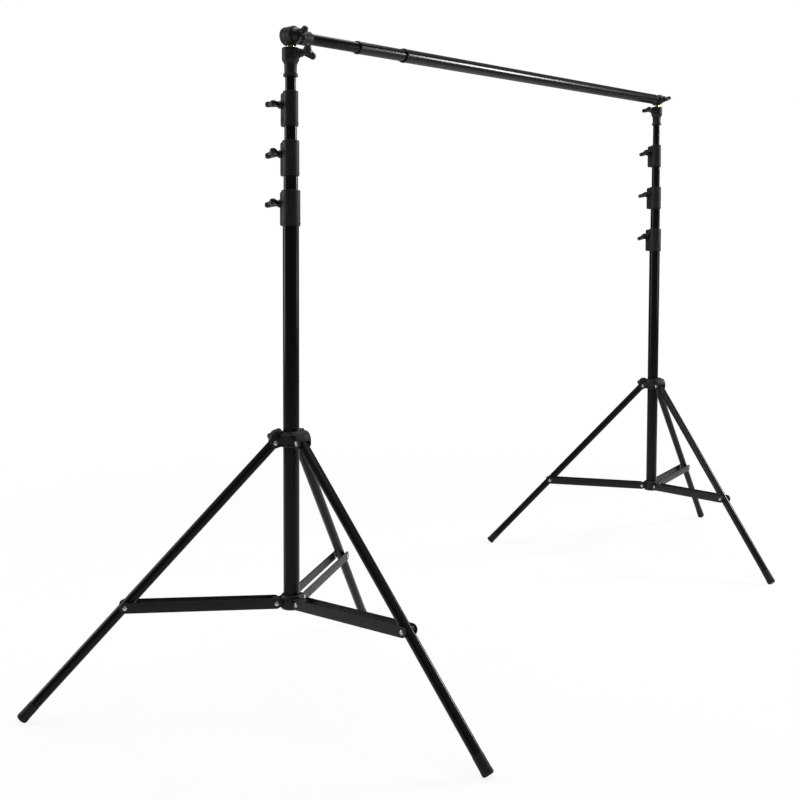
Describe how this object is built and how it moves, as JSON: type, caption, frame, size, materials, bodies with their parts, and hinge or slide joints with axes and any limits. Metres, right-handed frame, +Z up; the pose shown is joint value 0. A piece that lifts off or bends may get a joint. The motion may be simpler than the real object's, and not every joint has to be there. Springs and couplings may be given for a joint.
{
  "type": "backdrop stand",
  "caption": "Portable backdrop support: two folding tripod light stands with telescopic masts that carry a telescopic crossbar on tilting brackets.",
  "frame": {"origin": "on the floor, under the middle of the object's bounding box", "axes": "+Z up; +X along the crossbar, from the left stand to the right one; +Y away from the side that the bracket knobs are on"},
  "size_m": [2.8025, 1.0273, 1.552],
  "materials": {
    "tube": "black, satin anodised tube",
    "casting": "black, satin powder-coated casting",
    "knob": "black moulded plastic over a steel screw",
    "strap": "black painted steel strap",
    "foot": "black rubber",
    "spigot": "turned brass, satin"
  },
  "bodies": {
    "left_base": {"left_mast_tube_1": "tube", "left_hub": "casting", "left_lock_collar_1": "casting"},
    "left_mast_2": {"left_mast_tube_2": "tube", "left_lock_collar_2": "casting"},
    "left_mast_3": {"left_mast_tube_3": "tube", "left_lock_collar_3": "casting"},
    "left_mast_4": {"left_mast_tube_4": "tube", "left_socket": "casting"},
    "left_head": {"left_spigot": "spigot", "left_bracket": "casting"},
    "left_leg_slide": {"left_leg_collar": "casting"},
    "right_base": {"right_mast_tube_1": "tube", "right_hub": "casting", "right_lock_collar_1": "casting"},
    "right_mast_2": {"right_mast_tube_2": "tube", "right_lock_collar_2": "casting"},
    "right_mast_3": {"right_mast_tube_3": "tube", "right_lock_collar_3": "casting"},
    "right_mast_4": {"right_mast_tube_4": "tube", "right_socket": "casting"},
    "right_head": {"right_spigot": "spigot", "right_bracket": "casting"},
    "right_leg_slide": {"right_leg_collar": "casting"},
    "bar_thin": {"left_bar_end": "casting", "bar_inner_tube": "tube"},
    "bar_middle": {"bar_middle_tube": "tube"},
    "bar_thick": {"bar_outer_tube": "tube", "right_bar_end": "casting"},
    "left_leg_a": {"left_leg_a": "tube", "left_foot_a": "foot"},
    "left_brace_a": {"left_brace_a": "strap"},
    "left_leg_b": {"left_leg_b": "tube", "left_foot_b": "foot"},
    "left_brace_b": {"left_brace_b": "strap"},
    "left_leg_c": {"left_leg_c": "tube", "left_foot_c": "foot"},
    "left_brace_c": {"left_brace_c": "strap"},
    "left_lock_knob_1": {"left_lock_knob_1": "knob"},
    "left_lock_knob_2": {"left_lock_knob_2": "knob"},
    "left_lock_knob_3": {"left_lock_knob_3": "knob"},
    "left_socket_knob": {"left_socket_knob": "knob"},
    "left_bracket_knob": {"left_bracket_knob": "knob"},
    "left_leg_collar_knob": {"left_leg_collar_knob": "knob"},
    "right_leg_a": {"right_leg_a": "tube", "right_foot_a": "foot"},
    "right_brace_a": {"right_brace_a": "strap"},
    "right_leg_b": {"right_leg_b": "tube", "right_foot_b": "foot"},
    "right_brace_b": {"right_brace_b": "strap"},
    "right_leg_c": {"right_leg_c": "tube", "right_foot_c": "foot"},
    "right_brace_c": {"right_brace_c": "strap"},
    "right_lock_knob_1": {"right_lock_knob_1": "knob"},
    "right_lock_knob_2": {"right_lock_knob_2": "knob"},
    "right_lock_knob_3": {"right_lock_knob_3": "knob"},
    "right_socket_knob": {"right_socket_knob": "knob"},
    "right_bracket_knob": {"right_bracket_knob": "knob"},
    "right_leg_collar_knob": {"right_leg_collar_knob": "knob"}
  },
  "joints": [
    {"name": "left_raise_1", "type": "slide", "parent": "left_base", "child": "left_mast_2", "axis": [0, 0, 1], "range_m": [-0.028, 0.64]},
    {"name": "left_raise_2", "type": "slide", "parent": "left_mast_2", "child": "left_mast_3", "axis": [0, 0, 1], "range_m": [-0.028, 0.64]},
    {"name": "left_raise_3", "type": "slide", "parent": "left_mast_3", "child": "left_mast_4", "axis": [0, 0, 1], "range_m": [-0.028, 0.64]},
    {"name": "left_swivel", "type": "hinge", "parent": "left_mast_4", "child": "left_head", "pos_m": [-0.942, 0.0486, 1.3865], "axis": [0, 0, 1], "continuous": true},
    {"name": "left_tilt", "type": "hinge", "parent": "left_head", "child": "bar_thin", "pos_m": [-0.942, 0.0486, 1.422], "axis": [0, -1, 0], "range_deg": [-10, 10]},
    {"name": "bar_slide_thin", "type": "slide", "parent": "bar_thin", "child": "bar_middle", "axis": [0.998, 0, 0.0639], "range_m": [-0.15, 1]},
    {"name": "bar_slide_thick", "type": "slide", "parent": "bar_middle", "child": "bar_thick", "axis": [0.998, 0, 0.0639], "range_m": [-0.13, 1]},
    {"name": "right_tilt", "type": "hinge", "parent": "bar_thick", "child": "right_head", "pos_m": [0.838, 0.0486, 1.536], "axis": [0, -1, 0], "range_deg": [-10, 10]},
    {"name": "right_swivel", "type": "hinge", "parent": "right_head", "child": "right_mast_4", "pos_m": [0.838, 0.0486, 1.5005], "axis": [0, 0, 1], "continuous": true},
    {"name": "right_raise_1", "type": "slide", "parent": "right_mast_2", "child": "right_base", "axis": [0, 0, -1], "range_m": [-0.066, 0.64]},
    {"name": "right_raise_2", "type": "slide", "parent": "right_mast_3", "child": "right_mast_2", "axis": [0, 0, -1], "range_m": [-0.066, 0.64]},
    {"name": "right_raise_3", "type": "slide", "parent": "right_mast_4", "child": "right_mast_3", "axis": [0, 0, -1], "range_m": [-0.066, 0.64]},
    {"name": "left_leg_collar_slide", "type": "slide", "parent": "left_base", "child": "left_leg_slide", "axis": [0, 0, 1], "range_m": [0, 0.42718]},
    {"name": "left_leg_a_fold", "type": "hinge", "parent": "left_leg_slide", "child": "left_leg_a", "pos_m": [-0.97109, 0.06981, 0.55854], "axis": [-0.5892, -0.808, 0], "range_deg": [0, 41.44]},
    {"name": "left_brace_a_fold", "type": "hinge", "parent": "left_base", "child": "left_brace_a", "pos_m": [-0.97028, 0.06922, 0.2115], "axis": [0.5892, 0.808, 0], "range_deg": [0, 84.4]},
    {"name": "left_leg_b_fold", "type": "hinge", "parent": "left_leg_slide", "child": "left_leg_b", "pos_m": [-0.94583, 0.0128, 0.55854], "axis": [0.9943, -0.1063, 0], "range_deg": [0, 41.44]},
    {"name": "left_brace_b_fold", "type": "hinge", "parent": "left_base", "child": "left_brace_b", "pos_m": [-0.94572, 0.0138, 0.2115], "axis": [-0.9943, 0.1063, 0], "range_deg": [0, 84.4]},
    {"name": "left_leg_c_fold", "type": "hinge", "parent": "left_leg_slide", "child": "left_leg_c", "pos_m": [-0.90909, 0.06319, 0.55854], "axis": [-0.4051, 0.9143, 0], "range_deg": [0, 41.44]},
    {"name": "left_brace_c_fold", "type": "hinge", "parent": "left_base", "child": "left_brace_c", "pos_m": [-0.91, 0.06278, 0.2115], "axis": [0.4051, -0.9143, 0], "range_deg": [0, 84.4]},
    {"name": "left_lock_knob_1_turn", "type": "hinge", "parent": "left_base", "child": "left_lock_knob_1", "pos_m": [-0.94399, 0.07853, 1.07014], "axis": [-0.9548, 0.2974, 0], "range_deg": [0, 360]},
    {"name": "left_lock_knob_2_turn", "type": "hinge", "parent": "left_mast_2", "child": "left_lock_knob_2", "pos_m": [-0.94459, 0.07662, 1.1755], "axis": [-0.9548, 0.2974, 0], "range_deg": [0, 360]},
    {"name": "left_lock_knob_3_turn", "type": "hinge", "parent": "left_mast_3", "child": "left_lock_knob_3", "pos_m": [-0.94518, 0.07471, 1.27986], "axis": [-0.9548, 0.2974, 0], "range_deg": [0, 360]},
    {"name": "left_socket_knob_turn", "type": "hinge", "parent": "left_mast_4", "child": "left_socket_knob", "pos_m": [-0.93743, 0.0227, 1.384], "axis": [0.1736, -0.9848, 0], "range_deg": [0, 360]},
    {"name": "left_bracket_knob_turn", "type": "hinge", "parent": "left_head", "child": "left_bracket_knob", "pos_m": [-0.942, 0.0328, 1.422], "axis": [0, -1, 0], "range_deg": [0, 360]},
    {"name": "left_leg_collar_knob_turn", "type": "hinge", "parent": "left_leg_slide", "child": "left_leg_collar_knob", "pos_m": [-0.93836, 0.08271, 0.57054], "axis": [0.1063, 0.9943, 0], "range_deg": [0, 360]},
    {"name": "right_leg_collar_slide", "type": "slide", "parent": "right_base", "child": "right_leg_slide", "axis": [0, 0, 1], "range_m": [0, 0.42718]},
    {"name": "right_leg_a_fold", "type": "hinge", "parent": "right_leg_slide", "child": "right_leg_a", "pos_m": [0.8173, 0.07805, 0.55854], "axis": [-0.8181, -0.575, 0], "range_deg": [0, 41.44]},
    {"name": "right_brace_a_fold", "type": "hinge", "parent": "right_base", "child": "right_brace_a", "pos_m": [0.81788, 0.07723, 0.2115], "axis": [0.8181, 0.575, 0], "range_deg": [0, 84.4]},
    {"name": "right_leg_b_fold", "type": "hinge", "parent": "right_leg_slide", "child": "right_leg_b", "pos_m": [0.82284, 0.01595, 0.55854], "axis": [0.907, -0.421, 0], "range_deg": [0, 41.44]},
    {"name": "right_brace_b_fold", "type": "hinge", "parent": "right_base", "child": "right_brace_b", "pos_m": [0.82326, 0.01685, 0.2115], "axis": [-0.907, 0.421, 0], "range_deg": [0, 84.4]},
    {"name": "right_leg_c_fold", "type": "hinge", "parent": "right_leg_slide", "child": "right_leg_c", "pos_m": [0.87386, 0.0518, 0.55854], "axis": [-0.0889, 0.996, 0], "range_deg": [0, 41.44]},
    {"name": "right_brace_c_fold", "type": "hinge", "parent": "right_base", "child": "right_brace_c", "pos_m": [0.87286, 0.05171, 0.2115], "axis": [0.0889, -0.996, 0], "range_deg": [0, 84.4]},
    {"name": "right_lock_knob_1_turn", "type": "hinge", "parent": "right_base", "child": "right_lock_knob_1", "pos_m": [0.83601, 0.07853, 1.07014], "axis": [-0.9548, 0.2974, 0], "range_deg": [0, 360]},
    {"name": "right_lock_knob_2_turn", "type": "hinge", "parent": "right_mast_2", "child": "right_lock_knob_2", "pos_m": [0.83541, 0.07662, 1.2135], "axis": [-0.9548, 0.2974, 0], "range_deg": [0, 360]},
    {"name": "right_lock_knob_3_turn", "type": "hinge", "parent": "right_mast_3", "child": "right_lock_knob_3", "pos_m": [0.83482, 0.07471, 1.35586], "axis": [-0.9548, 0.2974, 0], "range_deg": [0, 360]},
    {"name": "right_socket_knob_turn", "type": "hinge", "parent": "right_mast_4", "child": "right_socket_knob", "pos_m": [0.81285, 0.05629, 1.498], "axis": [-0.9563, 0.2924, 0], "range_deg": [0, 360]},
    {"name": "right_bracket_knob_turn", "type": "hinge", "parent": "right_head", "child": "right_bracket_knob", "pos_m": [0.838, 0.0328, 1.536], "axis": [0, -1, 0], "range_deg": [0, 360]},
    {"name": "right_leg_collar_knob_turn", "type": "hinge", "parent": "right_leg_slide", "child": "right_leg_collar_knob", "pos_m": [0.85244, 0.07971, 0.57054], "axis": [0.421, 0.907, 0], "range_deg": [0, 360]}
  ],
  "couplings": [
    {"joint": "right_tilt", "follows": "left_tilt", "ratio": -1},
    {"joint": "right_raise_1", "follows": "left_raise_1", "ratio": 1},
    {"joint": "right_raise_2", "follows": "left_raise_2", "ratio": 1},
    {"joint": "right_raise_3", "follows": "left_raise_3", "ratio": 1},
    {"joint": "left_leg_a_fold", "follows": "left_leg_collar_slide", "rad_per_m": 1.6923},
    {"joint": "left_brace_a_fold", "follows": "left_leg_collar_slide", "rad_per_m": 3.4476},
    {"joint": "left_leg_b_fold", "follows": "left_leg_collar_slide", "rad_per_m": 1.6923},
    {"joint": "left_brace_b_fold", "follows": "left_leg_collar_slide", "rad_per_m": 3.4476},
    {"joint": "left_leg_c_fold", "follows": "left_leg_collar_slide", "rad_per_m": 1.6923},
    {"joint": "left_brace_c_fold", "follows": "left_leg_collar_slide", "rad_per_m": 3.4476},
    {"joint": "right_leg_a_fold", "follows": "right_leg_collar_slide", "rad_per_m": 1.6923},
    {"joint": "right_brace_a_fold", "follows": "right_leg_collar_slide", "rad_per_m": 3.4476},
    {"joint": "right_leg_b_fold", "follows": "right_leg_collar_slide", "rad_per_m": 1.6923},
    {"joint": "right_brace_b_fold", "follows": "right_leg_collar_slide", "rad_per_m": 3.4476},
    {"joint": "right_leg_c_fold", "follows": "right_leg_collar_slide", "rad_per_m": 1.6923},
    {"joint": "right_brace_c_fold", "follows": "right_leg_collar_slide", "rad_per_m": 3.4476}
  ]
}
